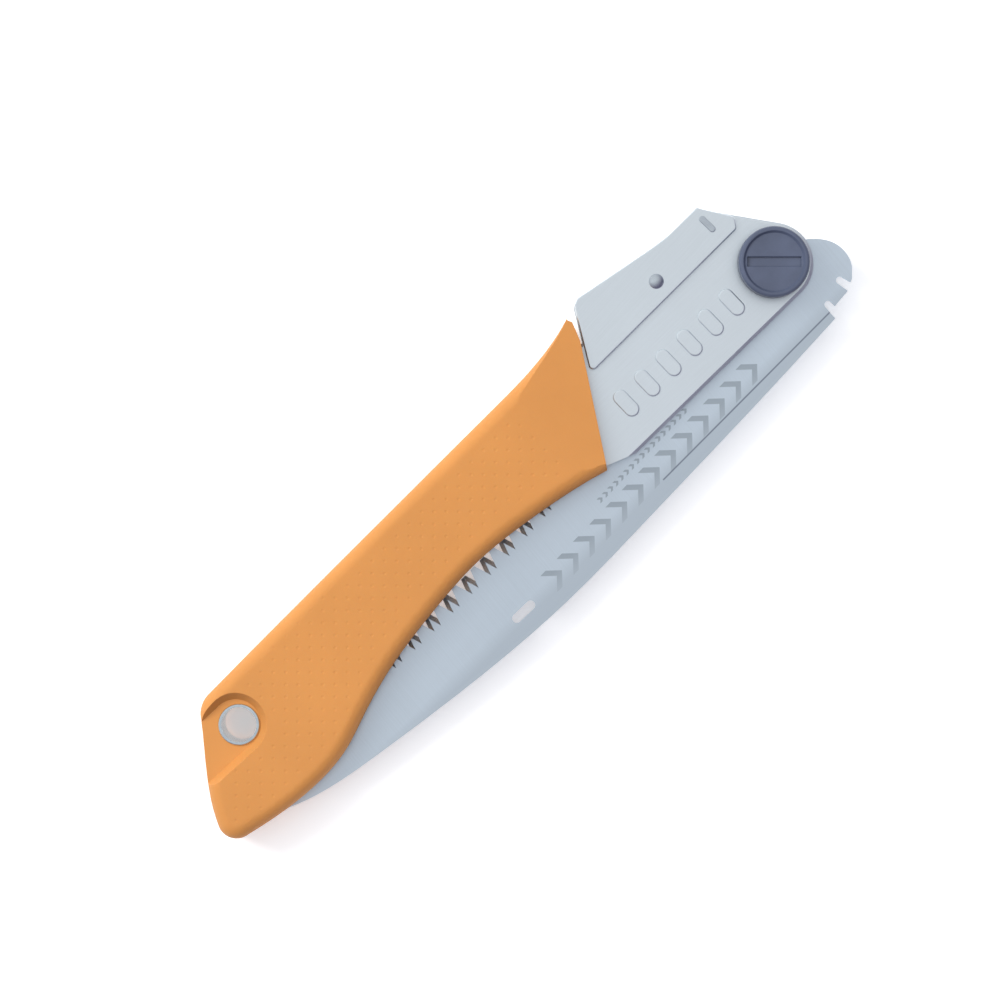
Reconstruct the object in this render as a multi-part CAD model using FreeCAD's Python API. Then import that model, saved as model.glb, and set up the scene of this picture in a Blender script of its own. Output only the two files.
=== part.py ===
import FreeCAD, Part
import math
import os

# Folding pruning saw, folded, lying on its back face. Lengths are in millimetres.
# The design frame has the blade pivot's axis as Z and the blade's middle plane at z = 0: +X runs from the
# grip's tail to the pivot, +Y from the blade's back to the lock lever. main() moves the finished pieces
# to the part's own frame, whose origin is the bottom centre of the whole saw's box.

V = FreeCAD.Vector
UP = V(0, 0, 1)
OUT = "parts"

# Stack through the pivot, half-thicknesses from the blade's middle plane.
BLADE_HALF = 0.7
PLATE_IN = 2.1
PLATE_OUT = 3.6
LEVER_IN = 3.9
LEVER_OUT = 4.9
GRIP_HALF = 9.5

# Blade pivot.
BUSH_R = 5.0
BOLT_R = 3.0
RUN_CLEAR = 0.05
PLATE_HOLE_R = 3.2
WASHER_R = 8.0
HUB_R = 9.3
KNOB_R = 9.7
KNOB_TOP = 10.1
FRONT_R = 11.2

# Blade.
TOOTH_PERIOD = 7.3
TOOTH_PAIRS = 25
FIRST_PAIR_X = -26.0
GULLET_R = 720.0
GULLET_LOW = V(-142, -9.03, 0)
TOOTH_HEIGHT = 5.0
GULLET_HALF_ANGLE = math.radians(18)
GULLET_PAIR_HALF = 1.2
NOTCH_R = 1.05
# Each notch: its bottom, then the left and right of its mouth.
NOTCHES = [(V(3.5, -18.9, 0), V(2.3, -24, 0), V(4.6, -24, 0)),
           (V(10.4, -16.3, 0), V(10.25, -21, 0), V(12.9, -21, 0))]
BACK_ROOT = V(2.3, -22.9, 0)
BLADE_TIP = V(-211.0, -6.8, 0)
BLADE_SLOT_X = (-117.9, -112.7)
BLADE_SLOT_Y = -22.0
BLADE_SLOT_R = 1.3

# Side plates.
SLANT_NORMAL_DEG = 36.7
FRAME_TOP_Y = 20.3
PLATE_HEEL_X = -62.9
PLATE_HEEL_Y = -11.8
RIM_BEVEL_WIDE = 0.85
RIM_BEVEL_DEEP = 0.45
RIB_COUNT = 6
RIB_FIRST_X = -15.5
RIB_PITCH = 8.0
RIB_R = 2.1
RIB_HIGH = 8.6
RIB_RISE = 0.5
RIB_SHOULDER_R = 0.45
RIVET_HOLE_R = 1.5
SPINE_RIVETS = [V(-62, 17.4, 0), V(-100, 16.9, 0), V(-140, 16.4, 0), V(-178, 15.9, 0)]
REST_RIVET = V(-172, -0.4, 0)
SPRING_PIN = V(-41.0, 15.6, 0)

# Lock lever and lock bar.
RIVET = V(-26.6, 18.4, 0)
RIVET_R = 1.6
LOCK_LIFT_DEG = 9.3
BAR_ANGLE_DEG = 105.7
BAR_LOCKED_R = 19.55
BAR_TILT_DEG = 88.0
BAR_THICK = 1.4
BAR_SLOT_DEG = 92.0
BAR_SLOT_LONG = 6.0
BAR_FOOT_ROOM = 0.6
BAR_SIDE_ROOM = 0.7
BAR_HIGH = 1.9
TAB_CENTRE = V(-5.7, 20.1, 0)
TAB_LONG = 5.6
TAB_WIDE = 1.8
TAB_TILT_DEG = 92.0
TAB_PROUD = 0.3
TAB_EDGE_R = 0.25
LEVER_WEB = 1.0
LEVER_CORNER_R = 1.3
LEVER_EDGE_R = 0.45
RIVET_HEAD_R = 2.05
RIVET_HEAD = 0.9
SPACER_R = 2.3

# Lever spring: coil round the spacer, with two straight legs.
WIRE_R = 0.45
SPRING_R = 3.1
SPRING_HIGH = 3.15
SPRING_FULL_TURNS = 2
# Where the upper leg ends, just clear of the web when the lever is pressed right down.
WEB_LEG_END = V(-38.5, 26.2, 0)
PIN_LEG_PAST = 1.5

# Grip and lanyard eyelet.
EYELET = V(-192.6, 9.6, 0)
EYELET_BORE_R = 4.8
EYELET_TUBE_R = 5.3
EYELET_FLANGE_R = 5.65
EYELET_FLANGE = 0.6
POCKET_FLOOR = 6.8
# How far the pocket's outline lies outside its nominal one at the floor and at the grip's face.
POCKET_FLOOR_GROW = -1.1
POCKET_FACE_GROW = 0.8
GRIP_EDGE_R = 4.0
GRIP_CREASE_X = -76.5
GRIP_FACET_SLOPE = 0.12
RELIEF_TOP = 5.3

# Bolt, knob and blade rest.
BOLT_HEAD_R = 8.0
BOLT_HEAD = 2.6
BOLT_TIP = 8.2
SPRING_WASHER = 0.8
SPRING_WASHER_R = 6.6
KNOB_BASE = PLATE_OUT + SPRING_WASHER
INSERT_R = 4.6
INSERT_HIGH = 3.2
COIN_SLOT_DEG = -43.7
COIN_SLOT_LONG = 14.6
COIN_SLOT_WIDE = 2.6
COIN_SLOT_DEEP = 1.6
COIN_SLOT_EDGE_R = 0.3
DISH_RIM_R = 8.5
DISH_FLOOR_R = 7.9
DISH_DEEP = 0.7
KNOB_EDGE_R = 0.9
BOLT_HEAD_EDGE_R = 1.2
BOLT_SLOT_LONG = 9.0
BOLT_SLOT_WIDE = 1.6
BOLT_SLOT_DEEP = 1.0


def polar(radius, degrees, z=0.0):
    angle = math.radians(degrees)
    return V(radius * math.cos(angle), radius * math.sin(angle), z)


def points(*pairs):
    return [V(x, y, 0) for x, y in pairs]


def line(a, b):
    return Part.LineSegment(a, b).toShape()


def lines(corners):
    return [line(a, b) for a, b in zip(corners, corners[1:])]


def arc(a, b, c):
    return Part.Arc(a, b, c).toShape()


def curve(through):
    spline = Part.BSplineCurve()
    spline.interpolate(through)
    return spline.toShape()


def plate(edges, z0, z1):
    face = Part.Face(Part.Wire(edges))
    face.translate(V(0, 0, z0))
    return face.extrude(V(0, 0, z1 - z0))


def polygon_plate(corners, z0, z1):
    return plate(lines(corners + corners[:1]), z0, z1)


def disc(radius, z0, z1, centre=V(0, 0, 0)):
    return Part.makeCylinder(radius, z1 - z0, centre + V(0, 0, z0), UP)


def ring(outer, inner, z0, z1, centre=V(0, 0, 0)):
    return disc(outer, z0, z1, centre).cut(disc(inner, z0 - 1, z1 + 1, centre))


def box(x0, x1, y0, y1, z0, z1):
    return Part.makeBox(x1 - x0, y1 - y0, z1 - z0, V(x0, y0, z0))


def slab(centre, length, width, angle_deg, z0, z1):
    """Box with its long side along angle_deg, centred on a point."""
    bar = box(-length / 2, length / 2, -width / 2, width / 2, z0, z1)
    bar.rotate(V(0, 0, 0), UP, angle_deg)
    bar.translate(V(centre.x, centre.y, 0))
    return bar


def fuse(shapes):
    return shapes[0].multiFuse(shapes[1:]).removeSplitter()


def mirror_z(shape):
    return shape.mirror(V(0, 0, 0), UP)


def oblong(centre, length, width, angle_deg, z0, z1):
    """Slab with round ends."""
    reach = polar((length - width) / 2, angle_deg)
    ends = [disc(width / 2, z0, z1, centre + reach), disc(width / 2, z0, z1, centre - reach)]
    return fuse([slab(centre, length - width, width, angle_deg, z0, z1)] + ends)


def fillet_edges(shape, radius, keep):
    return shape.makeFillet(radius, [edge for edge in shape.Edges if keep(edge)])


def lies_at(z):
    """Picks the edges that lie flat at one height."""
    return lambda e: abs(e.BoundBox.ZMax - z) < 0.01 and e.BoundBox.ZLength < 0.01


# Blade ------------------------------------------------------------------------------------------

def gullet_y(x):
    """Height of the gullet bottoms, on a long concave arc."""
    return GULLET_LOW.y + GULLET_R - math.sqrt(GULLET_R ** 2 - (x - GULLET_LOW.x) ** 2)


def tooth_tip_y(x):
    return gullet_y(x) + TOOTH_HEIGHT


def blade_outline():
    heel_x = FIRST_PAIR_X + 5.0
    end_x = FIRST_PAIR_X - TOOTH_PERIOD * (TOOTH_PAIRS - 1) - 4.2
    mid_x = (heel_x + end_x) / 2
    heel = V(heel_x, tooth_tip_y(heel_x), 0)
    tooth_end = V(end_x, tooth_tip_y(end_x), 0)
    tooth_mid = V(mid_x, tooth_tip_y(mid_x), 0)
    hub_start = polar(HUB_R, 112)
    hub_end = polar(HUB_R, 14)
    hub_top = polar(HUB_R, 60)
    nose = points((10.6, -1.0), (14.1, -4.0), (16.5, -8.0), (16.9, -10.8), (16.5, -13.6), (15.2, -16.0))
    back = points((-30, -25.0), (-70, -27.0), (-107, -28.2), (-140, -26.3), (-172, -22.6), (-199, -16.4),
                  (-207.5, -11.2))
    return [
        arc(tooth_end, tooth_mid, heel),
        curve([heel, V(-14, 8.0, 0), hub_start]),
        arc(hub_start, hub_top, hub_end),
        line(hub_end, nose[0]),
        curve(nose),
        *lines([nose[-1], V(13.2, -18.1, 0), V(9.9, -19.8, 0), V(2.3, -20.6, 0), BACK_ROOT]),
        curve([BACK_ROOT, *back, BLADE_TIP]),
        arc(BLADE_TIP, V(-210.0, -3.2, 0), tooth_end),
    ]


def gullet_cutters():
    """V grooves filed at a slant through the blade, leaning left and right in turn."""
    slant = TOOTH_PERIOD / 2 - 2 * GULLET_PAIR_HALF
    rise = TOOTH_HEIGHT + 1.0
    half_top = rise * math.tan(GULLET_HALF_ANGLE)
    over = 0.3
    lean = slant * (BLADE_HALF + over) / BLADE_HALF / 2
    cutters = []
    for pair in range(TOOTH_PAIRS):
        for side in (-1, 1):
            x = FIRST_PAIR_X - TOOTH_PERIOD * pair + side * (GULLET_PAIR_HALF + slant / 2)
            y = gullet_y(x)
            groove = []
            for z, shift in ((BLADE_HALF + over, -lean), (-BLADE_HALF - over, lean)):
                at = x + side * shift
                ring_points = [V(at, y, z), V(at + half_top, y + rise, z), V(at - half_top, y + rise, z)]
                groove.append(Part.Wire(lines(ring_points + ring_points[:1])))
            cutters.append(Part.makeLoft(groove, True, True))
    return cutters


def notch(bottom, mouth_left, mouth_right):
    """Open slot in the tang's rim: straight flanks and a round bottom."""
    left = bottom + V(-NOTCH_R, 0.1, 0)
    right = bottom + V(NOTCH_R, 0.1, 0)
    top = bottom + V(0, NOTCH_R + 0.1, 0)
    return plate([arc(left, top, right), *lines([right, mouth_right, mouth_left, left])], -2, 2)


def blade():
    """Curved blade with its tang, drawn folded."""
    body = plate(blade_outline(), -BLADE_HALF, BLADE_HALF)
    slot_middle = V(sum(BLADE_SLOT_X) / 2, BLADE_SLOT_Y, 0)
    slot_length = BLADE_SLOT_X[1] - BLADE_SLOT_X[0] + 2 * BLADE_SLOT_R
    cut = [disc(BUSH_R + RUN_CLEAR, -2, 2), oblong(slot_middle, slot_length, 2 * BLADE_SLOT_R, 0, -2, 2)]
    cut += [notch(*where) for where in NOTCHES]
    return body.cut(cut + gullet_cutters())


# Frame ------------------------------------------------------------------------------------------

def plate_edges():
    """Outline of a side plate: round nose about the pivot, slanted front edge, long tail in the grip."""
    tangent = polar(FRONT_R, SLANT_NORMAL_DEG)
    run = (FRAME_TOP_Y - tangent.y) / math.cos(math.radians(SLANT_NORMAL_DEG))
    top_front = tangent + polar(run, SLANT_NORMAL_DEG + 90)
    nose_bottom = V(0, -FRONT_R, 0)
    belly = points((-202, -13.6), (-188, -14.8), (-177, -13.8), (-166, -10.4), (-150, -5.9), (-133, -3.3),
                   (-115, -2.0), (-98, -3.0), (-84, -5.4), (-72, -8.4))
    tail = points((-50, FRAME_TOP_Y), (-192, 17.8), (-197, 15.8), (-213.0, -7.0), (-211, -11.6))
    return [
        arc(nose_bottom, polar(FRONT_R, -27), tangent),
        *lines([tangent, top_front, *tail, belly[0]]),
        curve(belly),
        *lines([belly[-1], V(PLATE_HEEL_X, PLATE_HEEL_Y, 0), nose_bottom]),
    ]


def pressed_rib(x, z0, z1):
    """Upright oblong rib with round shoulders, pressed out of the plate."""
    return fillet_edges(oblong(V(x, 0, 0), RIB_HIGH, 2 * RIB_R, 90, z0, z1), RIB_SHOULDER_R, lies_at(z1))


def front_side_plate():
    """Pressed steel plate with a bevelled rim, holes for the pivots and rivets, and a row of ribs."""
    body = plate(plate_edges(), PLATE_IN, PLATE_OUT)
    rim = [e for e in body.Edges if abs(e.BoundBox.ZMin - PLATE_OUT) < 0.01 and e.BoundBox.XMax > -70
           and e.BoundBox.YMax < FRAME_TOP_Y + 0.1 and e.BoundBox.XMin > PLATE_HEEL_X - 1]
    body = body.makeChamfer(RIM_BEVEL_DEEP, RIM_BEVEL_WIDE, rim)
    holes = [disc(PLATE_HOLE_R, 0, 9), disc(RIVET_R + RUN_CLEAR, 0, 9, RIVET)]
    holes.append(disc(EYELET_TUBE_R, 0, 9, EYELET))
    holes += [disc(RIVET_HOLE_R, 0, 9, at) for at in SPINE_RIVETS + [REST_RIVET, SPRING_PIN]]
    foot = polar(BAR_LOCKED_R - BAR_FOOT_ROOM, BAR_ANGLE_DEG)
    slot_middle = foot + polar(BAR_SLOT_LONG / 2, BAR_SLOT_DEG)
    holes.append(slab(slot_middle, BAR_SLOT_LONG, BAR_THICK + BAR_SIDE_ROOM, BAR_SLOT_DEG, 0, 9))
    rib_x = [RIB_FIRST_X - RIB_PITCH * n for n in range(RIB_COUNT)]
    ribs = [pressed_rib(x, PLATE_OUT, PLATE_OUT + RIB_RISE) for x in rib_x]
    return fuse([body.cut(holes)] + ribs)


def back_side_plate():
    return mirror_z(front_side_plate())


def spine_strip():
    """Steel strip that joins the side plates along the grip's back."""
    corners = points((-49, 15.4), (-49, 20.0), (-190, 17.6), (-184, 13.6), (-175, 13.2))
    holes = [disc(RIVET_HOLE_R, -9, 9, at) for at in SPINE_RIVETS]
    return polygon_plate(corners, -PLATE_IN, PLATE_IN).cut(holes)


def flush_rivet(at):
    return disc(RIVET_HOLE_R, -PLATE_OUT, PLATE_OUT, at)


def spine_rivets():
    return Part.makeCompound([flush_rivet(at) for at in SPINE_RIVETS])


def blade_rest():
    """Moulded pad between the plates that keeps the folded teeth off the steel."""
    pad = box(-182, -162, -2.6, 3.0, -PLATE_IN, PLATE_IN)
    pad = fillet_edges(pad, 1.2, lambda e: e.BoundBox.ZLength > 4)
    return pad.cut(disc(RIVET_HOLE_R, -9, 9, REST_RIVET))


# Pivot ------------------------------------------------------------------------------------------

def pivot_bush():
    return ring(BUSH_R, BOLT_R + RUN_CLEAR, -PLATE_IN, PLATE_IN)


def friction_washer(z0, z1):
    return ring(WASHER_R, BUSH_R + RUN_CLEAR, z0, z1)


def pivot_bolt():
    """Bolt with a shallow domed head on the back plate."""
    back = -PLATE_OUT - BOLT_HEAD
    head = fillet_edges(disc(BOLT_HEAD_R, back, -PLATE_OUT), BOLT_HEAD_EDGE_R, lies_at(back))
    slot = slab(V(0, 0, 0), BOLT_SLOT_LONG, BOLT_SLOT_WIDE, 0, back - 1, back + BOLT_SLOT_DEEP)
    return fuse([head, disc(BOLT_R, -PLATE_OUT, BOLT_TIP)]).cut(slot)


def knob_spring_washer():
    return ring(SPRING_WASHER_R, BOLT_R + RUN_CLEAR, PLATE_OUT, KNOB_BASE)


def knob_insert():
    return ring(INSERT_R, BOLT_R + RUN_CLEAR, KNOB_BASE, KNOB_BASE + INSERT_HIGH)


def knob_nut():
    """Round moulded nut: raised rim, dished face and a coin slot with rounded edges."""
    body = fillet_edges(disc(KNOB_R, KNOB_BASE, KNOB_TOP), KNOB_EDGE_R, lies_at(KNOB_TOP))
    face = KNOB_TOP - DISH_DEEP
    dish = Part.makeCone(DISH_FLOOR_R, DISH_RIM_R, DISH_DEEP, V(0, 0, face), UP)
    slot_floor = KNOB_TOP - COIN_SLOT_DEEP
    slot = slab(V(0, 0, 0), COIN_SLOT_LONG, COIN_SLOT_WIDE, COIN_SLOT_DEG, slot_floor, KNOB_TOP + 1)
    body = fillet_edges(body.cut([dish, slot]), COIN_SLOT_EDGE_R,
                        lambda e: lies_at(face)(e) and e.Curve.TypeId == "Part::GeomLine")
    bore = disc(INSERT_R, KNOB_BASE - 1, KNOB_BASE + INSERT_HIGH)
    tip_room = disc(BOLT_R + 0.3, KNOB_BASE, BOLT_TIP + 0.1)
    return body.cut([bore, tip_room])


# Lock lever -------------------------------------------------------------------------------------

def bar_axis():
    """Inner end of the lock bar, drawn lifted clear of the tang, and the bar's direction."""
    locked = polar(BAR_LOCKED_R, BAR_ANGLE_DEG) - RIVET
    lift = math.radians(LOCK_LIFT_DEG)
    inner = V(locked.x * math.cos(lift) - locked.y * math.sin(lift),
              locked.x * math.sin(lift) + locked.y * math.cos(lift), 0) + RIVET
    return inner, BAR_TILT_DEG + LOCK_LIFT_DEG


def bar_tab():
    """Front end of the bar: an oblong head in the lever's wall, standing a little proud of it."""
    top = LEVER_OUT + TAB_PROUD
    head = oblong(TAB_CENTRE, TAB_LONG, TAB_WIDE, TAB_TILT_DEG, LEVER_IN, top)
    return fillet_edges(head, TAB_EDGE_R, lies_at(top))


def bar_tabs():
    return [bar_tab(), mirror_z(bar_tab())]


def lock_bar():
    inner, tilt = bar_axis()
    bridge = slab(inner + polar(BAR_HIGH / 2, tilt), BAR_HIGH, BAR_THICK, tilt, -LEVER_IN, LEVER_IN)
    return fuse([bridge] + bar_tabs())


def lever_wall(top, z0):
    """One wall of the lever: its top edge, then round past the tail, the lower edge and the nose."""
    tail = V(-47.4, 29.2, 0)
    tail_corner = V(-57.0, 12.5, 0)
    nose_corner = V(-0.7, 13.62, 0)
    nose = points((1.0, 16.2), (0.4, 17.7), (-3.7, 23.8))
    wall = polygon_plate(top + [tail, tail_corner, nose_corner] + nose, z0, z0 + LEVER_OUT - LEVER_IN)
    rounded = [p.x for p in (top[-1], tail, tail_corner, nose_corner, nose[0])]
    return fillet_edges(wall, LEVER_CORNER_R, lambda e: e.BoundBox.ZLength > 0.5
                        and min(abs(e.BoundBox.XMin - x) for x in rounded) < 0.01)


def lock_lever():
    """Folded steel cover: two walls joined by a web along the top edge, with rounded outer edges."""
    top = points((-4.6, 25.4), (-16.0, 25.3), (-20.5, 25.8), (-32.0, 27.7), (-45.4, 30.0))
    walls = [lever_wall(top, z0) for z0 in (LEVER_IN, -LEVER_OUT)]
    web_end = V(1.5, 0, 0)
    under = [p - V(0, LEVER_WEB, 0) for p in top[::-1]]
    under[0] += web_end
    web_top = top[:-1] + [top[-1] + web_end - V(0, 0.25, 0)]
    web = polygon_plate(web_top + under, -LEVER_IN, LEVER_IN)
    cover = fillet_edges(fuse(walls + [web]), LEVER_EDGE_R,
                         lambda e: lies_at(LEVER_OUT)(e) or lies_at(-LEVER_OUT)(e))
    inner, tilt = bar_axis()
    nose_gap = box(-9.0, -3, 20, 27, -1.5, 1.5)
    bar_room = slab(inner + polar(1.4, tilt), 2.8, BAR_THICK, tilt, -LEVER_IN, LEVER_IN)
    return cover.cut([disc(RIVET_R, -9, 9, RIVET), nose_gap, bar_room] + bar_tabs())


def lever_rivet():
    """Pin with a domed head on each wall of the lever."""
    pin = disc(RIVET_R, -LEVER_OUT, LEVER_OUT, RIVET)
    top = LEVER_OUT + RIVET_HEAD
    dome_r = (RIVET_HEAD_R ** 2 + RIVET_HEAD ** 2) / (2 * RIVET_HEAD)
    dome = Part.makeSphere(dome_r, RIVET + V(0, 0, top - dome_r))
    head = disc(RIVET_HEAD_R, LEVER_OUT, top, RIVET).common(dome)
    return fuse([pin, head, mirror_z(head)])


def lever_spacer():
    return ring(SPACER_R, RIVET_R + RUN_CLEAR, -PLATE_IN, PLATE_IN, RIVET)


def rod(a, b, radius):
    return Part.makeCylinder(radius, (b - a).Length, a, b - a)


def tangent_deg(to, reach, side):
    """Angle of the coil's radius from which a straight leg passes a point at a distance of reach."""
    run = to - RIVET
    aim = math.degrees(math.atan2(run.y, run.x))
    return aim + side * math.degrees(math.acos((SPRING_R - reach) / run.Length))


def lever_spring():
    """Torsion spring: one leg bears on top of the spring pin, the other reaches up under the lever's web."""
    pin_deg = tangent_deg(SPRING_PIN, RIVET_HOLE_R + WIRE_R, -1)
    web_deg = tangent_deg(WEB_LEG_END, 0, 1)
    turn_deg = (pin_deg - web_deg) % 360 + 360 * SPRING_FULL_TURNS
    helix = Part.makeHelix(SPRING_HIGH * 360 / turn_deg, SPRING_HIGH, SPRING_R)
    section = Part.Wire(Part.makeCircle(WIRE_R, V(SPRING_R, 0, 0), V(0, 1, 0)))
    coil = Part.Wire(helix.Edges).makePipeShell([section], True, True)
    coil.rotate(V(0, 0, 0), UP, web_deg)
    web_leg = math.sqrt((WEB_LEG_END - RIVET).Length ** 2 - SPRING_R ** 2)
    pin_leg = (SPRING_PIN - RIVET).Length + PIN_LEG_PAST
    starts = [(polar(SPRING_R, web_deg), polar(web_leg, web_deg - 90)),
              (polar(SPRING_R, pin_deg, SPRING_HIGH), polar(pin_leg, pin_deg + 90))]
    spring = coil.multiFuse([rod(a, a + run, WIRE_R) for a, run in starts])
    spring.translate(RIVET + V(0, 0, -SPRING_HIGH / 2))
    return spring


def spring_pin():
    return flush_rivet(SPRING_PIN)


# Grip -------------------------------------------------------------------------------------------

def grip_outline():
    """Outer outline, carried on past its front edge, which is cut afterwards."""
    top = points((-44, 31.5), (-52.4, 27.6), (-60, 25.7), (-68, 24.6), (-82, 24.0), (-120, 23.2),
                 (-176, 21.9), (-192.5, 21.4))
    corner = points((-192.5, 21.4), (-196.2, 20.6), (-199.2, 17.9))
    tail = points((-199.2, 17.9), (-205.3, 10.0), (-212.5, 0.0), (-215.9, -6.6))
    toe = points((-215.9, -6.6), (-216.1, -10.2), (-211.5, -13.9))
    belly = points((-211.5, -13.9), (-202, -15.7), (-188, -16.8), (-177, -15.7), (-166, -12.0),
                   (-150, -7.4), (-133, -4.7), (-115, -3.3), (-97, -4.8), (-80, -7.7), (-62, -13))
    return [curve(top), arc(*corner), curve(tail), arc(*toe), curve(belly),
            *lines([belly[-1], V(-44, -13, 0), top[0]])]


def grip_front_cut():
    """Everything ahead of the grip's slanted front edge and its tip."""
    return polygon_plate(points((-72.2, -9.9), (-53, 20.9), (-51, 26.2), (-51.6, 27.4), (-50, 40), (0, 40),
                                (0, -20), (-69, -20)), -20, 20)


def facet_cut():
    """Wedge that thins the grip from the crease to its front edge."""
    far = -40.0
    drop = (far - GRIP_CREASE_X) * GRIP_FACET_SLOPE
    corners = [V(GRIP_CREASE_X, -30, GRIP_HALF), V(far, -30, GRIP_HALF - drop), V(far, -30, 2 * GRIP_HALF),
               V(GRIP_CREASE_X, -30, 2 * GRIP_HALF)]
    return Part.Face(Part.Wire(lines(corners + corners[:1]))).extrude(V(0, 80, 0))


def pocket_wire(grow, z):
    """The pocket's outline, open past the tail, enlarged by grow."""
    upper = V(-194.0, 18.2 + grow, z)
    lower = V(-193.0, 2.4 - grow, z)
    outer = [lower, V(-225, 3.2 - grow, z), V(-225, 18.8 + grow, z), upper]
    return Part.Wire([arc(upper, V(-185.3 + grow, 9.9, z), lower), *lines(outer)])


def eyelet_pocket():
    """Sunken flat round the eyelet with sloping sides, open to the tail edge."""
    rise = GRIP_HALF - POCKET_FLOOR
    flare = POCKET_FACE_GROW - POCKET_FLOOR_GROW
    wires = [pocket_wire(POCKET_FLOOR_GROW, POCKET_FLOOR),
             pocket_wire(POCKET_FACE_GROW + flare, GRIP_HALF + rise)]
    return Part.makeLoft(wires, True, True)


def lever_relief():
    """Room under the grip's front edge for the lever's rear corners."""
    corners = points((-58.5, 11.5), (-50, 11.5), (-50, 26.6), (-58.5, 22.0))
    return polygon_plate(corners, PLATE_OUT, RELIEF_TOP)


def rubber_grip():
    body = plate(grip_outline(), -GRIP_HALF, GRIP_HALF)
    body = fillet_edges(body, GRIP_EDGE_R, lambda e: e.BoundBox.ZLength < 0.01 and e.BoundBox.XMin < -62.5)
    one_side = [facet_cut(), eyelet_pocket(), lever_relief()]
    plates_room = plate(plate_edges(), -PLATE_OUT, PLATE_OUT)
    channel = polygon_plate(points((-50, 19.0), (-190, 17.0), (-195, 15.0), (-212.6, -5.0), (-213.2, -8.0),
                                   (-213.2, -30), (-50, -30)), -PLATE_IN, PLATE_IN)
    cut = [grip_front_cut(), plates_room, channel, disc(EYELET_TUBE_R, -20, 20, EYELET)]
    return body.cut(cut + one_side + [mirror_z(shape) for shape in one_side])


def lanyard_eyelet():
    """Steel tube through the tail, flanged over both faces."""
    tube = disc(EYELET_TUBE_R, -POCKET_FLOOR, POCKET_FLOOR, EYELET)
    flange = disc(EYELET_FLANGE_R, POCKET_FLOOR, POCKET_FLOOR + EYELET_FLANGE, EYELET)
    flange = fillet_edges(flange, 0.3, lies_at(POCKET_FLOOR + EYELET_FLANGE))
    return fuse([tube, flange, mirror_z(flange)]).cut(disc(EYELET_BORE_R, -20, 20, EYELET))


# Assembly ---------------------------------------------------------------------------------------

def build():
    return {
        "blade": blade(),
        "front_side_plate": front_side_plate(),
        "back_side_plate": back_side_plate(),
        "spine_strip": spine_strip(),
        "spine_rivets": spine_rivets(),
        "rubber_grip": rubber_grip(),
        "lanyard_eyelet": lanyard_eyelet(),
        "blade_rest": blade_rest(),
        "blade_rest_rivet": flush_rivet(REST_RIVET),
        "pivot_bush": pivot_bush(),
        "pivot_bolt": pivot_bolt(),
        "front_friction_washer": friction_washer(BLADE_HALF, PLATE_IN),
        "back_friction_washer": friction_washer(-PLATE_IN, -BLADE_HALF),
        "knob_spring_washer": knob_spring_washer(),
        "knob_insert": knob_insert(),
        "knob_nut": knob_nut(),
        "lock_lever": lock_lever(),
        "lock_bar": lock_bar(),
        "lever_rivet": lever_rivet(),
        "lever_spacer": lever_spacer(),
        "lever_spring": lever_spring(),
        "spring_pin": spring_pin(),
    }


def main():
    os.makedirs(OUT, exist_ok=True)
    pieces = build()
    whole = Part.makeCompound(list(pieces.values())).optimalBoundingBox()
    origin = V(whole.Center.x, whole.Center.y, whole.ZMin)
    for name, shape in pieces.items():
        shape.translate(-origin)
        shape.exportStep(os.path.join(OUT, name + ".step"))


main()
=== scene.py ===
import math

import bmesh
import bpy
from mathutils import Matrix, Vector


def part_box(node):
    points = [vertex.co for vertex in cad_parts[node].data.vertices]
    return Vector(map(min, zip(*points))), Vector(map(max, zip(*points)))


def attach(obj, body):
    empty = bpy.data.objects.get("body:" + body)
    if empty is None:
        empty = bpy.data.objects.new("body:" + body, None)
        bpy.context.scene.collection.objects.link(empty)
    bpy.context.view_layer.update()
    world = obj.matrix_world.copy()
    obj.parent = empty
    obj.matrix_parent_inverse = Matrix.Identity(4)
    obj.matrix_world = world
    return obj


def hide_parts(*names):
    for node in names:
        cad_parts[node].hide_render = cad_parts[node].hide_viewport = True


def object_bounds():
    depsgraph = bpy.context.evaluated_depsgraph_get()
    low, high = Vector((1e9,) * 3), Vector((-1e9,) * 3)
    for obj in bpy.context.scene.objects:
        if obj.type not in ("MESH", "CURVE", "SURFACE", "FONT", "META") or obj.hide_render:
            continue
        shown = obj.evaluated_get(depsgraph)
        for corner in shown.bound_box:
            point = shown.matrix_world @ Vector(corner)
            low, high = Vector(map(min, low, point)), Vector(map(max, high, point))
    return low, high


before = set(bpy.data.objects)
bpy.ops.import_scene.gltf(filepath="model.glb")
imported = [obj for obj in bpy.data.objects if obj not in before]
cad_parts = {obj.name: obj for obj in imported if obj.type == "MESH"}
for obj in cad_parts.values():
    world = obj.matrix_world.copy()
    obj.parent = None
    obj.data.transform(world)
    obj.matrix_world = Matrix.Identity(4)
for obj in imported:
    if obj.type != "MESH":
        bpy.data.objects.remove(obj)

CAD_LOW, CAD_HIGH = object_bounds()
MM = 0.001


def middle(node):
    low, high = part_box(node)
    return (low + high) / 2


PIVOT = middle("pivot_bush")
EYELET = middle("lanyard_eyelet")
LEVER_RIVET = middle("lever_rivet")
GRIP_LOW, GRIP_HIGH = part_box("rubber_grip")
GRIP_HALF = (GRIP_HIGH.z - GRIP_LOW.z) / 2
VIEW_TURN = math.radians(43.7)


def design(x, y, z=0.0):
    """Point given in millimetres from the blade pivot."""
    return Vector((PIVOT.x + x * MM, PIVOT.y + y * MM, PIVOT.z + z * MM))


# Camera, light and floor --------------------------------------------------------------------------

VIEW_CENTRE = design(-98.8, 4.7)
VIEW_WIDTH = 0.2737
CAMERA_HEIGHT = 0.9
# Height over the blade of the plane that fills the view's width: the front plate's face.
VIEW_PLANE = 4 * MM
SENSOR = 36.0


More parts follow.
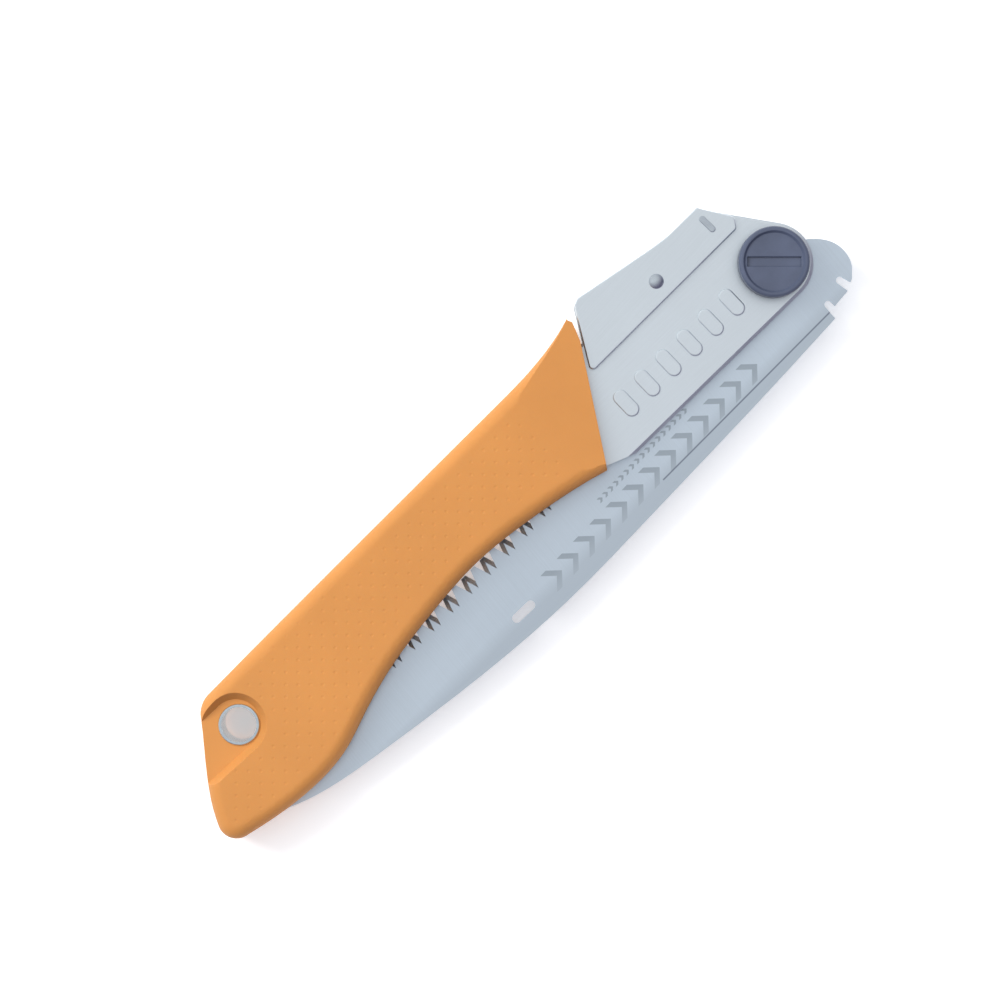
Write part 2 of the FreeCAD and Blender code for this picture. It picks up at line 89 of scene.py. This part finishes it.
def set_camera():
    data = bpy.data.cameras.new("camera")
    data.sensor_width = SENSOR
    camera = bpy.data.objects.new("camera", data)
    bpy.context.scene.collection.objects.link(camera)
    data.lens = SENSOR * CAMERA_HEIGHT / VIEW_WIDTH
    data.clip_start = 0.01
    camera.location = (VIEW_CENTRE.x, VIEW_CENTRE.y, PIVOT.z + VIEW_PLANE + CAMERA_HEIGHT)
    camera.rotation_euler = (0.0, 0.0, -VIEW_TURN)
    bpy.context.scene.camera = camera


def area_light(name, offset, size, power, mirrored):
    """Round lamp aimed at the view's centre; mirrored says whether it shows in shiny metal."""
    location = VIEW_CENTRE + Vector(offset)
    data = bpy.data.lights.new(name, "AREA")
    data.shape = "DISK"
    data.size = size
    data.energy = power
    light = bpy.data.objects.new(name, data)
    light.location = location
    light.visible_glossy = mirrored
    light.rotation_euler = (VIEW_CENTRE - location).to_track_quat("-Z", "Y").to_euler()
    bpy.context.scene.collection.objects.link(light)


ROOM_DARK = (0.20, 0.18, 0.27, 1.0)
ROOM_LIGHT = (0.95, 0.975, 1.0, 1.0)
ROOM_STRENGTH = 0.80
# How much the room brightens overhead and towards the lamp's side (+Y).
ROOM_OVERHEAD = 0.75
ROOM_LAMP_SIDE = 0.75
ROOM_LEVEL = 0.12
# The lamps' places from the view's centre.
KEY_PLACE = (-0.18, 0.62, 0.62)
OVERHEAD_PLACE = (0.1, 0.05, 1.3)


def set_room():
    """A room that is bright overhead and on the lamp's side and dark on the other side."""
    world = bpy.data.worlds.new("studio")
    world.use_nodes = True
    tree = world.node_tree
    background = tree.nodes["Background"]
    background.inputs["Strength"].default_value = ROOM_STRENGTH
    coords = tree.nodes.new("ShaderNodeTexCoord")
    weigh = tree.nodes.new("ShaderNodeVectorMath")
    weigh.operation = "DOT_PRODUCT"
    weigh.inputs[1].default_value = (0.0, ROOM_LAMP_SIDE, ROOM_OVERHEAD)
    lift = tree.nodes.new("ShaderNodeMath")
    lift.operation = "ADD"
    lift.use_clamp = True
    lift.inputs[1].default_value = ROOM_LEVEL
    colour = tree.nodes.new("ShaderNodeMix")
    colour.data_type = "RGBA"
    colour.inputs[6].default_value = ROOM_DARK
    colour.inputs[7].default_value = ROOM_LIGHT
    tree.links.new(coords.outputs["Generated"], weigh.inputs[0])
    tree.links.new(weigh.outputs["Value"], lift.inputs[0])
    tree.links.new(lift.outputs[0], colour.inputs[0])
    tree.links.new(colour.outputs[2], background.inputs["Color"])
    bpy.context.scene.world = world


def set_lights():
    area_light("key", KEY_PLACE, 0.5, 5.0, mirrored=False)
    area_light("glint", KEY_PLACE, 0.5, 0.9, mirrored=True)
    area_light("overhead", OVERHEAD_PLACE, 1.6, 6.0, mirrored=False)
    set_room()
    settings = bpy.context.scene.view_settings
    settings.view_transform = "Standard"
    settings.look = "None"


# Materials ----------------------------------------------------------------------------------------

class Shader:
    """A material's node tree, with one Principled shader and short calls for the nodes it needs."""

    def __init__(self, name, base, metallic=0.0, roughness=0.5, **sockets):
        self.material = bpy.data.materials.new(name)
        self.material.use_nodes = True
        self.tree = self.material.node_tree
        self.bsdf = self.tree.nodes["Principled BSDF"]
        self.set("Base Color", (*base, 1.0))
        self.set("Metallic", metallic)
        self.set("Roughness", roughness)
        for socket, value in sockets.items():
            self.set(socket.replace("_", " "), value)
        self.material.diffuse_color = (*base, 1.0)

    def set(self, socket, value):
        self.bsdf.inputs[socket].default_value = value

    def plug(self, socket, output):
        self.tree.links.new(output, self.bsdf.inputs[socket])

    def node(self, kind, **values):
        node = self.tree.nodes.new(kind)
        for key, value in values.items():
            setattr(node, key, value)
        return node

    def link(self, output, node, socket):
        if isinstance(output, (int, float)):
            node.inputs[socket].default_value = output
        else:
            self.tree.links.new(output, node.inputs[socket])

    def where(self, turn=0.0, stretch=(1, 1, 1), origin=(0, 0, 0)):
        """Position on the object, turned about Z and stretched, in metres."""
        coords = self.node("ShaderNodeTexCoord")
        mapping = self.node("ShaderNodeMapping", vector_type="TEXTURE")
        mapping.inputs["Location"].default_value = origin
        mapping.inputs["Rotation"].default_value = (0, 0, turn)
        mapping.inputs["Scale"].default_value = stretch
        self.tree.links.new(coords.outputs["Object"], mapping.inputs["Vector"])
        return mapping.outputs["Vector"]

    def noise(self, vector, scale, detail=3.0, roughness=0.55):
        node = self.node("ShaderNodeTexNoise")
        self.link(vector, node, "Vector")
        node.inputs["Scale"].default_value = scale
        node.inputs["Detail"].default_value = detail
        node.inputs["Roughness"].default_value = roughness
        return node.outputs["Fac"]

    def ramp(self, value, low, high, to_low=0.0, to_high=1.0):
        node = self.node("ShaderNodeMapRange")
        self.link(value, node, "Value")
        limits = {"From Min": low, "From Max": high, "To Min": to_low, "To Max": to_high}
        for socket, number in limits.items():
            node.inputs[socket].default_value = number
        return node.outputs["Result"]

    def math(self, operation, a, b=0.0):
        node = self.node("ShaderNodeMath", operation=operation)
        self.link(a, node, 0)
        self.link(b, node, 1)
        return node.outputs[0]

    def split(self, vector):
        node = self.node("ShaderNodeSeparateXYZ")
        self.link(vector, node, "Vector")
        return node.outputs["X"], node.outputs["Y"], node.outputs["Z"]

    def blend(self, amount, first, second):
        """Colour between two others; each is a triple or an output."""
        node = self.node("ShaderNodeMix", data_type="RGBA")
        self.link(amount, node, 0)
        for index, colour in ((6, first), (7, second)):
            if isinstance(colour, tuple):
                node.inputs[index].default_value = (*colour, 1.0)
            else:
                self.tree.links.new(colour, node.inputs[index])
        return node.outputs[2]

    def bump(self, height, distance, strength):
        node = self.node("ShaderNodeBump")
        node.inputs["Distance"].default_value = distance
        node.inputs["Strength"].default_value = strength
        self.link(height, node, "Height")
        self.plug("Normal", node.outputs["Normal"])


def tint(colour, factor):
    return tuple(min(1.0, channel * factor) for channel in colour)


def satin_steel(name, base, grain_turn, rough, metallic=0.92):
    """Plated sheet steel: fine directional grain over slow patches of light and dark."""
    steel = Shader(name, base, metallic, rough)
    grain = steel.noise(steel.where(grain_turn, (0.012, 0.00035, 0.012)), 1.0, 4.0, 0.6)
    patches = steel.noise(steel.where(), 28.0, 3.0)
    mixed = steel.math("ADD", steel.math("MULTIPLY", grain, 0.55), steel.math("MULTIPLY", patches, 0.45))
    shade = steel.ramp(mixed, 0.3, 0.7)
    steel.plug("Base Color", steel.blend(shade, tint(base, 0.955), tint(base, 1.035)))
    steel.plug("Roughness", steel.ramp(grain, 0.25, 0.75, rough - 0.05, rough + 0.08))
    steel.bump(grain, 0.00002, 0.35)
    return steel.material


BLADE_COLOUR = (0.69, 0.78, 0.855)
PLATE_COLOUR = (0.82, 0.885, 0.92)
# Middle, turn, size and colour of a thin dark line painted along the blade near its back: a painted
# reflection.
REFLECTION_LINE_MIDDLE = design(-30.0, -21.45)
REFLECTION_LINE_TURN = math.radians(1.49)
REFLECTION_LINE_HALF_LENGTH = 32.6 * MM
REFLECTION_LINE_HALF_WIDTH = 0.2 * MM
PAINTED_REFLECTION_COLOUR = (0.12, 0.14, 0.21)
# Painted shade: the blade darkens from here towards its back.
BACK_SHADE_TOP = 3.4 * MM
BACK_SHADE_BOTTOM = -0.4 * MM
ETCH_COLOUR = (0.21, 0.25, 0.28)
ETCH_TURN = math.radians(2.9)
# Rows of etched marks: centre, number of marks, height, pitch and the marks' share of the pitch.
CHEVRONS = (design(-61.9, -19.1), 13, 6.4 * MM, 6.5 * MM, 0.32)
TICKS = (design(-61.6, -13.4), 17, 1.5 * MM, 2.1 * MM, 0.4)


def etched_row(shader, centre, count, height, pitch, share):
    """Mask of a row of whole chevrons, 1 on the etch."""
    half = count * pitch / 2
    x, y, z = shader.split(shader.where(ETCH_TURN, origin=centre))
    away = shader.math("ABSOLUTE", y)
    along = shader.math("ADD", x, away)
    phase = shader.math("FRACT", shader.math("DIVIDE", shader.math("ADD", along, half), pitch))
    off_middle = shader.math("ABSOLUTE", shader.math("SUBTRACT", phase, 0.5))
    stripe = shader.math("LESS_THAN", off_middle, share / 2)
    inside_y = shader.math("LESS_THAN", away, height / 2)
    inside_x = shader.math("LESS_THAN", shader.math("ABSOLUTE", along), half)
    return shader.math("MULTIPLY", stripe, shader.math("MULTIPLY", inside_x, inside_y))


def blade_steel():
    """Ground saw steel: cross grinding, painted shade and a thin painted reflection line by the back, and
    rows of etched chevrons.
    """
    steel = Shader("ground_saw_steel", BLADE_COLOUR, 0.9, 0.36)
    lines = steel.noise(steel.where(math.radians(86), (0.02, 0.00022, 0.02)), 1.0, 4.0, 0.65)
    patches = steel.noise(steel.where(stretch=(0.06, 0.02, 0.02)), 1.0, 3.0)
    shade = steel.math("ADD", steel.math("MULTIPLY", lines, 0.5), steel.math("MULTIPLY", patches, 0.5))
    ground = steel.blend(steel.ramp(shade, 0.3, 0.7), tint(BLADE_COLOUR, 0.93), tint(BLADE_COLOUR, 1.06))
    etching = steel.math("MAXIMUM", etched_row(steel, *CHEVRONS), etched_row(steel, *TICKS))
    etched = steel.blend(steel.math("MULTIPLY", etching, 0.5), ground, ETCH_COLOUR)
    x, y, z = steel.split(steel.where(REFLECTION_LINE_TURN, origin=REFLECTION_LINE_MIDDLE))
    # Painted shade, darker towards the blade's back.
    back_shade = steel.ramp(y, BACK_SHADE_TOP, BACK_SHADE_BOTTOM, 0.0, 0.75)
    shaded = steel.blend(back_shade, etched, tint(BLADE_COLOUR, 0.82))
    # Thin dark line along the back: a painted reflection.
    from_reflection_line = steel.math("ABSOLUTE", y)
    reflection_line = steel.ramp(from_reflection_line, 0.5 * REFLECTION_LINE_HALF_WIDTH, 1.5 * REFLECTION_LINE_HALF_WIDTH, 0.7, 0.0)
    along = steel.math("LESS_THAN", steel.math("ABSOLUTE", x), REFLECTION_LINE_HALF_LENGTH)
    steel.plug("Base Color", steel.blend(steel.math("MULTIPLY", reflection_line, along), shaded, PAINTED_REFLECTION_COLOUR))
    steel.plug("Roughness", steel.ramp(lines, 0.25, 0.75, 0.30, 0.46))
    steel.bump(lines, 0.00002, 0.4)
    return steel.material


RUBBER = (0.60, 0.255, 0.068)


def grip_rubber():
    """Matt moulded rubber with a fine pebble and slow changes of tone."""
    rubber = Shader("dotted_orange_rubber", RUBBER, 0.0, 0.62, Specular_IOR_Level=0.35)
    pebble = rubber.noise(rubber.where(), 2400.0, 2.0)
    clouds = rubber.noise(rubber.where(), 38.0, 4.0)
    tone = rubber.math("ADD", rubber.math("MULTIPLY", clouds, 0.75), rubber.math("MULTIPLY", pebble, 0.25))
    shade = rubber.ramp(tone, 0.3, 0.7)
    rubber.plug("Base Color", rubber.blend(shade, tint(RUBBER, 0.95), tint(RUBBER, 1.06)))
    rubber.plug("Roughness", rubber.ramp(pebble, 0.3, 0.7, 0.55, 0.70))
    rubber.bump(pebble, 0.00004, 0.35)
    rubber.set("Subsurface Weight", 0.06)
    rubber.set("Subsurface Radius", (1.0, 0.4, 0.12))
    rubber.set("Subsurface Scale", 0.0015)
    return rubber.material


def moulded_black(name, base, rough):
    plastic = Shader(name, base, 0.0, rough, Specular_IOR_Level=0.6)
    pebble = plastic.noise(plastic.where(), 1500.0, 3.0)
    clouds = plastic.noise(plastic.where(), 120.0, 3.0)
    shade = plastic.ramp(clouds, 0.3, 0.7)
    plastic.plug("Base Color", plastic.blend(shade, tint(base, 0.88), tint(base, 1.15)))
    plastic.plug("Roughness", plastic.ramp(pebble, 0.3, 0.7, rough - 0.06, rough + 0.08))
    plastic.bump(pebble, 0.00003, 0.3)
    return plastic.material


def turned_metal(name, base, rough, centre, metallic=1.0):
    """Lathe-turned metal: rings about a centre."""
    metal = Shader(name, base, metallic, rough)
    x, y, z = metal.split(metal.where(origin=centre))
    squared = metal.math("ADD", metal.math("MULTIPLY", x, x), metal.math("MULTIPLY", y, y))
    radius = metal.math("SQRT", squared)
    rings = metal.node("ShaderNodeTexNoise", noise_dimensions="1D")
    metal.link(metal.math("MULTIPLY", radius, 6000.0), rings, "W")
    rings.inputs["Scale"].default_value = 1.0
    speckle = metal.noise(metal.where(), 500.0, 3.0)
    shade = metal.ramp(speckle, 0.3, 0.7)
    metal.plug("Base Color", metal.blend(shade, tint(base, 0.93), tint(base, 1.05)))
    metal.plug("Roughness", metal.ramp(rings.outputs["Fac"], 0.2, 0.8, rough - 0.05, rough + 0.1))
    metal.bump(rings.outputs["Fac"], 0.00001, 0.5)
    return metal.material


def nylon(name, base):
    plastic = Shader(name, base, 0.0, 0.5, Specular_IOR_Level=0.4)
    clouds = plastic.noise(plastic.where(), 300.0, 3.0)
    shade = plastic.ramp(clouds, 0.3, 0.7)
    plastic.plug("Base Color", plastic.blend(shade, tint(base, 0.94), tint(base, 1.03)))
    plastic.bump(clouds, 0.00003, 0.2)
    return plastic.material


# Meshes -------------------------------------------------------------------------------------------

def new_piece(name, mesh, body, slot, *nodes):
    piece = bpy.data.objects.new(name, mesh)
    bpy.context.scene.collection.objects.link(piece)
    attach(piece, body)
    if nodes:
        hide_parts(*nodes)
    return piece


# Faces that meet at less than this are joined.
FLAT_ANGLE = math.radians(0.05)


def clean_copy(node):
    """Mesh of a CAD node with its flat faces joined into single polygons."""
    shape = bmesh.new()
    shape.from_mesh(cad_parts[node].data)
    bmesh.ops.remove_doubles(shape, verts=shape.verts, dist=1e-6)
    bmesh.ops.dissolve_limit(shape, angle_limit=FLAT_ANGLE, verts=shape.verts, edges=shape.edges)
    mesh = bpy.data.meshes.new(node)
    shape.to_mesh(mesh)
    shape.free()
    return mesh


def smooth_by_angle(mesh, degrees):
    for polygon in mesh.polygons:
        polygon.use_smooth = True
    mesh.set_sharp_from_angle(angle=math.radians(degrees))


def bake_modifiers(piece):
    graph = bpy.context.evaluated_depsgraph_get()
    mesh = bpy.data.meshes.new_from_object(piece.evaluated_get(graph))
    piece.modifiers.clear()
    piece.data = mesh
    return mesh


def finish_mesh(piece, sharp, material):
    """Smooth shading led by the large faces, with edges over an angle kept crisp."""
    smooth_by_angle(bake_modifiers(piece), sharp)
    normals = piece.modifiers.new("normals", "WEIGHTED_NORMAL")
    normals.mode = "FACE_AREA"
    normals.weight = 100
    normals.keep_sharp = True
    mesh = bake_modifiers(piece)
    mesh.materials.clear()
    mesh.materials.append(material)


def paint(node, material):
    """Gives a CAD node that is shown as it is its finished material."""
    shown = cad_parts[node]
    if not shown.material_slots:
        shown.data.materials.append(None)
    for place in shown.material_slots:
        place.material = material


# Grip ---------------------------------------------------------------------------------------------

DOT_PITCH = 3.36 * MM
DOT_R = 0.58 * MM
DOT_DEPTH = 0.10 * MM
DOT_BALL_R = (DOT_R * DOT_R + DOT_DEPTH * DOT_DEPTH) / (2 * DOT_DEPTH)
DOT_START = design(-142.4, 9.4)
# Dots to try each way from the start; the whole grip lies within them.
DOT_REACH = 45
# The field of dots ends at these lines, clear of the grip's rounded edges and facets.
DOTS_TOP = design(0, 18.7).y
DOTS_BOTTOM = design(0, -11.5).y
DOTS_FRONT = design(-78.5, 0).x
BELLY_MARGIN = 5.2 * MM
# The tail's slanted edge: a point on it and its run for each unit of rise.
TAIL_EDGE = design(-208.5, -5.0)
TAIL_RUN = 0.74
# The eyelet's pocket lies above and behind this corner.
POCKET_CORNER = design(-184.5, 1.0)


def belly_y(x):
    """Height of the grip's belly edge, a long arch between its two lobes."""
    along = (x - design(-115, 0).x) / MM
    return design(0, -3.3 - 0.0036 * along * along).y


def dot_places():
    """Centres of the dots: a square lattice, turned, inside the grip's flat faces."""
    across = Vector((math.cos(VIEW_TURN), -math.sin(VIEW_TURN), 0)) * DOT_PITCH
    up = Vector((math.sin(VIEW_TURN), math.cos(VIEW_TURN), 0)) * DOT_PITCH
    spots = []
    for i in range(-DOT_REACH, DOT_REACH):
        for j in range(-DOT_REACH, DOT_REACH):
            spot = DOT_START + across * i + up * j
            bottom = max(belly_y(spot.x) + BELLY_MARGIN, DOTS_BOTTOM)
            tail = TAIL_EDGE.x + (spot.y - TAIL_EDGE.y) * TAIL_RUN
            in_pocket = spot.y > POCKET_CORNER.y and spot.x < POCKET_CORNER.x
            if bottom < spot.y < DOTS_TOP and tail <= spot.x <= DOTS_FRONT and not in_pocket:
                spots.append(spot)
    return spots


DOT_SIDES = 10
# Height of a cutter's outer ring over the face.
DOT_COVER = 0.3 * MM
# Rings of a cutter, as shares of a dot's radius; the last lies outside the dot.
DOT_RINGS = (0.45, 0.8, 1.0, 1.2)


def dimple_cutter(shape, centre, side):
    """Small plug with a rounded nose, its nose a dot's depth into the face; side is the face's sign."""
    rings = []
    for share in DOT_RINGS:
        radius = share * DOT_R
        sink = DOT_DEPTH - (DOT_BALL_R - math.sqrt(DOT_BALL_R ** 2 - radius ** 2))
        height = DOT_COVER if share > 1.0 else -sink
        ring = []
        for step in range(DOT_SIDES):
            angle = 2 * math.pi * step / DOT_SIDES
            out = Vector((math.cos(angle), math.sin(angle), 0)) * radius
            ring.append(shape.verts.new(centre + out + Vector((0, 0, side * height))))
        rings.append(ring)
    nose = shape.verts.new(centre - Vector((0, 0, side * DOT_DEPTH)))
    for step in range(DOT_SIDES):
        after = (step + 1) % DOT_SIDES
        shape.faces.new((nose, rings[0][after], rings[0][step]))
        for inner, outer in zip(rings, rings[1:]):
            shape.faces.new((inner[step], inner[after], outer[after], outer[step]))
    shape.faces.new(rings[-1])


def dimple_cutters():
    """One mesh with a cutter for each dot on both faces."""
    shape = bmesh.new()
    for spot in dot_places():
        for side in (-1, 1):
            dimple_cutter(shape, Vector((spot.x, spot.y, PIVOT.z + side * GRIP_HALF)), side)
    bmesh.ops.recalc_face_normals(shape, faces=shape.faces)
    mesh = bpy.data.meshes.new("dimples")
    shape.to_mesh(mesh)
    shape.free()
    return mesh


RIM_ROUND = 0.55 * MM
RIM_STEPS = 3
# Edges sharper than this are rounded.
CRISP = math.radians(25)
# The box round the eyelet's pockets, where the front end starts, and each one's least height over
# the mid plane.
POCKET_LOW = EYELET - Vector((24.0, 8.5, 0.0)) * MM
POCKET_HIGH = EYELET + Vector((9.0, 11.0, 0.0)) * MM
POCKET_HEIGHT = 6.5 * MM
FRONT_START = design(-73.5, 0).x
FRONT_HEIGHT = 5.6 * MM


def is_rim(a, b):
    """Whether an edge lies on a pocket's rim or round the grip's front end, clear of the plates."""
    height = min(abs(p.z - PIVOT.z) for p in (a, b))
    boxed = all(POCKET_LOW.x < p.x < POCKET_HIGH.x and POCKET_LOW.y < p.y < POCKET_HIGH.y
                for p in (a, b))
    pocket = height > POCKET_HEIGHT and boxed
    front = height > FRONT_HEIGHT and min(a.x, b.x) > FRONT_START
    return pocket or front


def round_rims(grip):
    """Rounds the crisp edges of the pockets and of the front end."""
    mesh = grip.data
    weights = mesh.attributes.new("bevel_weight_edge", "FLOAT", "EDGE")
    normals_at = {}
    for polygon in mesh.polygons:
        for key in polygon.edge_keys:
            normals_at.setdefault(key, []).append(polygon.normal)
    for edge in mesh.edges:
        normals = normals_at[edge.key]
        crisp = len(normals) == 2 and normals[0].angle(normals[1]) > CRISP
        if crisp and is_rim(*(mesh.vertices[index].co for index in edge.vertices)):
            weights.data[edge.index].value = 1.0
    rim = grip.modifiers.new("rims", "BEVEL")
    rim.limit_method = "WEIGHT"
    rim.width = RIM_ROUND
    rim.segments = RIM_STEPS
    rim.use_clamp_overlap = True
    bake_modifiers(grip)


# Degrees over which the finished grip's edges stay crisp.
GRIP_CREASE = 40


def make_grip(material):
    grip = new_piece("grip", clean_copy("rubber_grip"), "handle", "grip_rubber", "rubber_grip")
    round_rims(grip)
    cutter = bpy.data.objects.new("dimples", dimple_cutters())
    bpy.context.scene.collection.objects.link(cutter)
    dots = grip.modifiers.new("dots", "BOOLEAN")
    dots.operation = "DIFFERENCE"
    dots.solver = "MANIFOLD"
    dots.object = cutter
    finish_mesh(grip, GRIP_CREASE, material)
    bpy.data.objects.remove(cutter)


# The saw ------------------------------------------------------------------------------------------

def make_saw():
    plate_steel = satin_steel("satin_plated_steel", PLATE_COLOUR, 0.0, 0.34)
    lever_steel = satin_steel("satin_lever_steel", tint(PLATE_COLOUR, 0.99), math.radians(5), 0.32)
    rivet_steel = turned_metal("rivet_steel", (0.62, 0.68, 0.73), 0.28, LEVER_RIVET)
    saw_steel = blade_steel()
    black = moulded_black("black_moulded_nylon", (0.074, 0.091, 0.144), 0.42)
    rubber = grip_rubber()
    eyelet_steel = turned_metal("eyelet_steel", (0.66, 0.74, 0.78), 0.2, EYELET)
    brass = turned_metal("turned_brass", (0.72, 0.52, 0.22), 0.3, PIVOT)
    bolt_black = turned_metal("black_oxide_steel", (0.035, 0.036, 0.04), 0.4, PIVOT, 0.7)
    spring_steel = satin_steel("spring_steel", (0.36, 0.37, 0.39), 0.0, 0.3)
    white = nylon("white_nylon", (0.72, 0.72, 0.68))

    make_grip(rubber)
    for node in ("front_side_plate", "back_side_plate"):
        paint(node, plate_steel)
    paint("lock_lever", lever_steel)
    for node in ("lock_bar", "lever_rivet", "lever_spacer", "spine_strip", "spine_rivets",
                 "blade_rest_rivet", "spring_pin"):
        paint(node, rivet_steel)
    for node in ("knob_nut", "blade_rest"):
        paint(node, black)
    for node in ("pivot_bush", "knob_insert"):
        paint(node, brass)
    for node in ("knob_spring_washer", "lever_spring"):
        paint(node, spring_steel)
    for node in ("front_friction_washer", "back_friction_washer"):
        paint(node, white)
    paint("blade", saw_steel)
    paint("pivot_bolt", bolt_black)
    paint("lanyard_eyelet", eyelet_steel)


FLOOR_GLOW = 0.3
FLOOR_SIZE = 3.0
FLOOR_GAP = 0.2 * MM


def make_floor():
    shape = bmesh.new()
    bmesh.ops.create_grid(shape, x_segments=1, y_segments=1, size=FLOOR_SIZE)
    mesh = bpy.data.meshes.new("floor")
    shape.to_mesh(mesh)
    shape.free()
    floor = bpy.data.objects.new("floor", mesh)
    floor.location = (VIEW_CENTRE.x, VIEW_CENTRE.y, CAD_LOW.z - FLOOR_GAP)
    bpy.context.scene.collection.objects.link(floor)
    paper = Shader("pale_floor", (0.93, 0.93, 0.93), 0.0, 0.9, Specular_IOR_Level=0.1)
    paper.set("Emission Color", (1.0, 1.0, 1.0, 1.0))
    paper.set("Emission Strength", FLOOR_GLOW)
    speckle = paper.noise(paper.where(), 90.0, 2.0)
    paper.plug("Base Color", paper.blend(speckle, (0.925, 0.925, 0.925), (0.94, 0.94, 0.94)))
    mesh.materials.append(paper.material)


set_camera()
set_lights()
make_saw()
make_floor()
